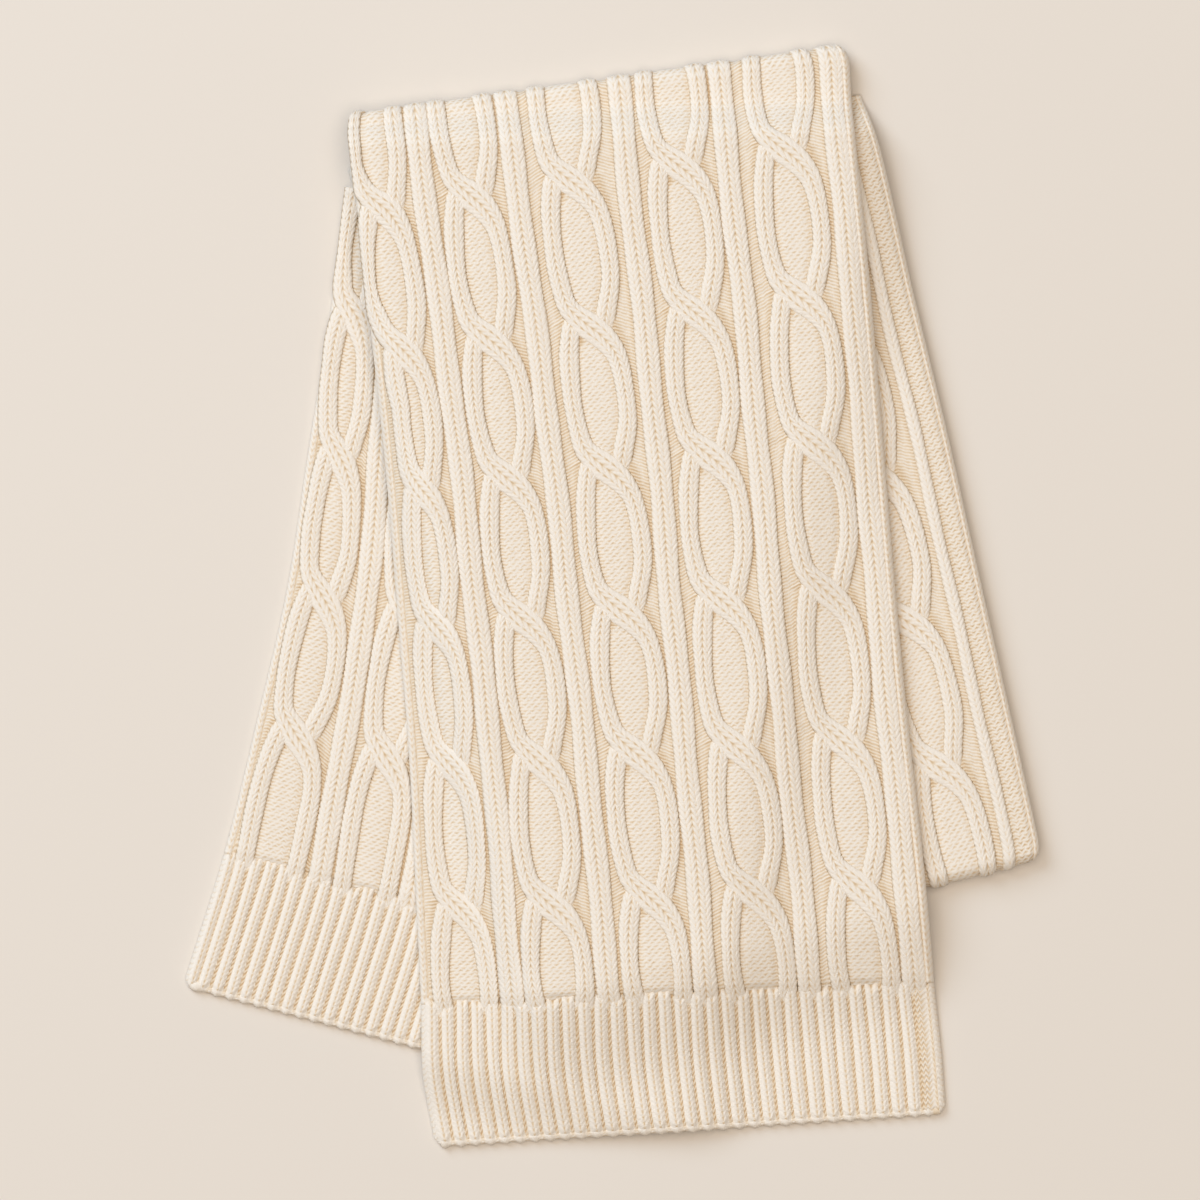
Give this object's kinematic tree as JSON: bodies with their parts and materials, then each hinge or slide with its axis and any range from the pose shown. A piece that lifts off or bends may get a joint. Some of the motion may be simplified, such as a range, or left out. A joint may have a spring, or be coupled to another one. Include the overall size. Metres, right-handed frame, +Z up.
{
  "type": "folded knit scarf",
  "caption": "Long chunky cable knit scarf with ribbed ends, folded in overlapping stretches that fan out and lie flat.",
  "frame": {"origin": "on the surface that the scarf lies on, under the centre of its bounding box", "axes": "+Z up, +Y from the ribbed borders to the top fold, +X to the side where the right stretch fans out"},
  "size_m": [0.4267, 0.5471, 0.0264],
  "materials": {
    "front_stretch": "soft matt wool yarn, cream",
    "front_rib_border": "soft matt wool yarn, cream",
    "right_stretch": "soft matt wool yarn, cream",
    "inner_stretch": "soft matt wool yarn, cream",
    "left_stretch": "soft matt wool yarn, cream",
    "left_rib_border": "soft matt wool yarn, cream"
  },
  "bodies": {
    "root": {"front_stretch": "front_stretch", "front_rib_border": "front_rib_border", "right_stretch": "right_stretch", "inner_stretch": "inner_stretch", "left_stretch": "left_stretch", "left_rib_border": "left_rib_border"}
  },
  "joints": []
}
